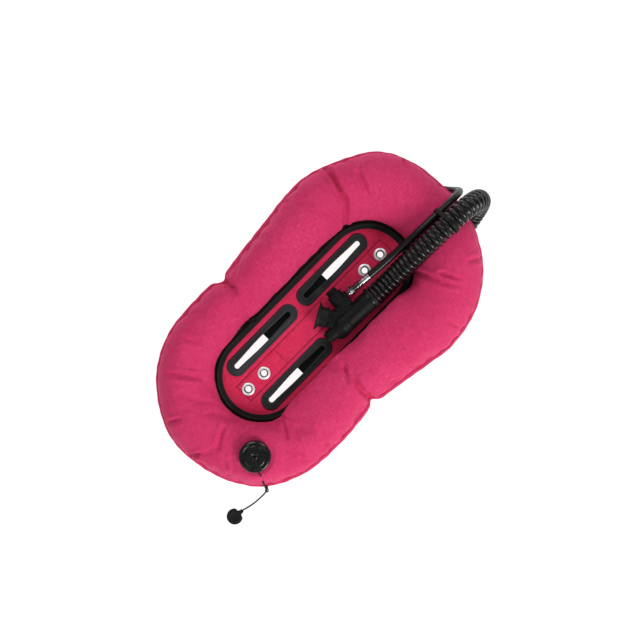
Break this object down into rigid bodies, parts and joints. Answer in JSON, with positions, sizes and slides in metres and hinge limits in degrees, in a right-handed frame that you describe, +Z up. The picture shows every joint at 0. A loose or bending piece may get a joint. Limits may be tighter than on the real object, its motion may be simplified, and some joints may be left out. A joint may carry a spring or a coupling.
{
  "type": "buoyancy compensator wing",
  "caption": "Inflatable donut-shaped diving wing with a slotted centre panel, dump valve with pull cord, corrugated hose and power inflator.",
  "frame": {"origin": "on the surface that the wing lies on, below the centre of its fabric outline", "axes": "+Y along the wing towards the end that the hoses come over, +Z up, away from the cylinder side"},
  "size_m": [0.379, 0.7042, 0.1511],
  "materials": {
    "shell_fabric": "heathered woven nylon, matt",
    "binding_tape": "woven tape, matt",
    "panel_fabric": "woven nylon, matt",
    "bladder_film": "polyurethane film, satin",
    "stiffener_sheet": "polyethylene sheet, satin",
    "slot_frame_rubber": "moulded rubber, fine grain",
    "pad_rubber": "ribbed rubber",
    "stainless_steel": "polished stainless steel",
    "zip_tape": "woven zip tape, matt",
    "zip_slider_plastic": "moulded, satin",
    "valve_plastic": "moulded, satin",
    "valve_cap_gloss": "moulded, gloss",
    "silicone_seal": "silicone",
    "spring_steel": "stainless wire",
    "cord": "braided cord",
    "knob_rubber": "moulded rubber, matt",
    "inflator_plastic": "moulded, fine spark finish",
    "hose_rubber": "extruded rubber, satin",
    "tie_nylon": "nylon, satin",
    "mouthpiece_silicone": "soft rubber, matt",
    "chrome_fitting": "chromed brass"
  },
  "bodies": {
    "wing": {"shell_front": "shell_fabric", "shell_back": "shell_fabric", "edge_binding": "binding_tape", "panel_front": "panel_fabric", "panel_back": "panel_fabric", "bladder": "bladder_film", "panel_stiffener": "stiffener_sheet", "slot_frame_upper_left": "slot_frame_rubber", "slot_frame_upper_right": "slot_frame_rubber", "slot_frame_lower_left": "slot_frame_rubber", "slot_frame_lower_right": "slot_frame_rubber", "tank_pad": "pad_rubber", "grommet_top_outer": "stainless_steel", "grommet_top_inner": "stainless_steel", "grommet_bottom_inner": "stainless_steel", "grommet_bottom_outer": "stainless_steel", "grommet_washer_top_outer": "stainless_steel", "grommet_washer_top_inner": "stainless_steel", "grommet_washer_bottom_inner": "stainless_steel", "grommet_washer_bottom_outer": "stainless_steel", "zip_tape": "zip_tape", "zip_coil": "zip_tape", "valve_base": "valve_plastic", "valve_nut": "valve_plastic", "valve_cap": "valve_cap_gloss", "valve_seal": "silicone_seal", "valve_spring": "spring_steel", "inflate_spring": "spring_steel", "oral_spring": "spring_steel", "pull_cord": "cord", "cord_tie": "cord", "pull_knob": "knob_rubber", "elbow_body": "inflator_plastic", "elbow_nut": "inflator_plastic", "inflator_body": "inflator_plastic", "corrugated_hose": "hose_rubber", "lp_hose": "hose_rubber", "lp_o_ring": "hose_rubber", "hose_keeper": "hose_rubber", "barrel_hose_tie": "tie_nylon", "elbow_hose_tie": "tie_nylon", "mouthpiece": "mouthpiece_silicone", "quick_nipple": "chrome_fitting", "coupler_body": "chrome_fitting", "hose_crimp": "chrome_fitting", "lp_crimp": "chrome_fitting", "lp_fitting": "chrome_fitting"},
    "inflate_button": {"inflate_button": "inflator_plastic"},
    "oral_button": {"oral_button": "inflator_plastic"},
    "coupler_sleeve": {"coupler_sleeve": "chrome_fitting"},
    "valve_disc": {"valve_disc": "valve_plastic"},
    "zip_slider": {"zip_slider": "zip_slider_plastic"},
    "zip_pull": {"zip_pull": "zip_slider_plastic"}
  },
  "joints": [
    {"name": "inflate_button_press", "type": "slide", "parent": "wing", "child": "inflate_button", "axis": [0.9987, -0.0506, 0], "range_m": [0, 0.003], "stiffness_N_per_m": 800, "deforming": ["inflate_spring"]},
    {"name": "oral_button_press", "type": "slide", "parent": "wing", "child": "oral_button", "axis": [0.0506, 0.9987, 0], "range_m": [0, 0.004], "stiffness_N_per_m": 600, "deforming": ["oral_spring"]},
    {"name": "coupler_sleeve_pull", "type": "slide", "parent": "wing", "child": "coupler_sleeve", "axis": [0.1015, 0.9825, 0.1564], "range_m": [0, 0.004], "stiffness_N_per_m": 500},
    {"name": "valve_disc_lift", "type": "slide", "parent": "wing", "child": "valve_disc", "axis": [0, 0, 1], "range_m": [0, 0.003], "stiffness_N_per_m": 400, "deforming": ["valve_spring"]},
    {"name": "zip_slider_run", "type": "slide", "parent": "wing", "child": "zip_slider", "axis": [0, 1, 0], "range_m": [-0.045, 0.185]},
    {"name": "zip_pull_swing", "type": "hinge", "parent": "zip_slider", "child": "zip_pull", "pos_m": [-0.07885, -0.075, 0.0638], "axis": [-1, 0, 0], "range_deg": [0, 170]}
  ]
}
